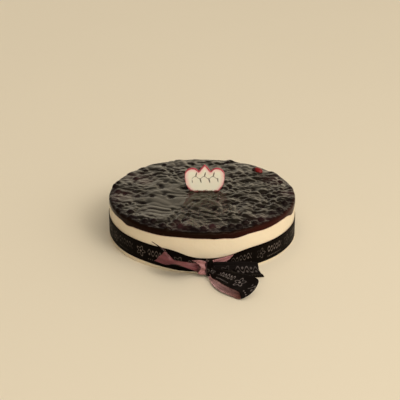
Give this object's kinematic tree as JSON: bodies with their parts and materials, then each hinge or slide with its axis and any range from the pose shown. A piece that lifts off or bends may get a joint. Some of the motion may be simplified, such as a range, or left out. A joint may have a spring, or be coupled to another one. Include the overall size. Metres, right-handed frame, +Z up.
{
  "type": "berry cheesecake",
  "caption": "Whole round cheesecake with a pale cream filling, a dark glazed berry top, a small upright plaque, a red berry, and a ribbon tied round its side.",
  "frame": {"origin": "centre of the flat round base that the cake rests on", "axes": "+Z up through the cake, -Y towards the bow at the front, +X to the right as seen from the front"},
  "size_m": [0.2018, 0.2566, 0.076],
  "materials": {
    "cream_filling": "set cream cheese, pale cream, smooth and softly matt",
    "berry_glaze": "glossy jelly over dark berries, nearly black with a wine-red tone where it is thin",
    "red_berry_skin": "wet red berry skin",
    "sugar_plaque": "off-white sugar sheet with a pink rim",
    "dark_satin": "near-black satin ribbon with a mauve reverse"
  },
  "bodies": {
    "root": {"filling": "cream_filling", "topping": "berry_glaze", "red_berry": "red_berry_skin", "plaque": "sugar_plaque", "ribbon_band": "dark_satin", "ribbon_bow": "dark_satin"}
  },
  "joints": []
}
